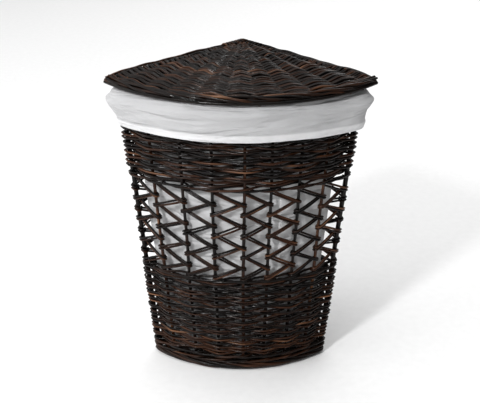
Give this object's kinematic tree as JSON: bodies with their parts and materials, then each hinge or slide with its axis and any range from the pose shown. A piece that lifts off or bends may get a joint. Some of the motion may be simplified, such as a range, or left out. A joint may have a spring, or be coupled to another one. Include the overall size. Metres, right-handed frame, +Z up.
{
  "type": "laundry basket",
  "caption": "Quarter-round corner laundry basket of dark woven willow with an openwork band, a cotton liner and a lift-off lid.",
  "frame": {"origin": "on the floor, below the middle of the lid's outline", "axes": "+Z up; +Y towards the square back corner, so the round front faces -Y; +X to the right seen from the front"},
  "size_m": [0.48, 0.3394, 0.5609],
  "materials": {
    "willow_weave": "dark stained willow rods, satin",
    "willow_border": "dark stained willow rods, satin, worn lighter on the crowns",
    "willow_stake": "dark stained willow rods, satin",
    "liner_cotton": "plain woven cotton, matte"
  },
  "bodies": {
    "basket": {"base_panel": "willow_weave", "base_sticks": "willow_stake", "foot_border": "willow_border", "foot_wale": "willow_weave", "lower_weave": "willow_weave", "lower_wale": "willow_weave", "upper_wale": "willow_weave", "upper_weave": "willow_weave", "rim_border": "willow_border", "front_stakes": "willow_stake", "left_stakes": "willow_stake", "right_stakes": "willow_stake", "left_post": "willow_stake", "right_post": "willow_stake", "back_post": "willow_stake", "lattice_front_1": "willow_weave", "lattice_front_2": "willow_weave", "lattice_front_3": "willow_weave", "lattice_front_4": "willow_weave", "lattice_front_5": "willow_weave", "lattice_front_6": "willow_weave", "lattice_front_7": "willow_weave", "lattice_front_8": "willow_weave", "lattice_left": "willow_weave", "lattice_right": "willow_weave", "liner_base_panel": "liner_cotton", "liner_front_panel": "liner_cotton", "liner_left_panel": "liner_cotton", "liner_right_panel": "liner_cotton", "liner_fold": "liner_cotton", "liner_cuff": "liner_cotton", "liner_hem": "liner_cotton"},
    "lid": {"lid_panel": "willow_weave", "lid_sticks": "willow_stake", "lid_back_binding": "willow_border", "lid_front_border": "willow_border", "lid_left_border": "willow_border", "lid_right_border": "willow_border", "lid_locating_ring": "willow_weave"}
  },
  "joints": [
    {"name": "lid_lift", "type": "slide", "parent": "basket", "child": "lid", "axis": [0, 0, 1], "range_m": [0, 0.2]}
  ]
}
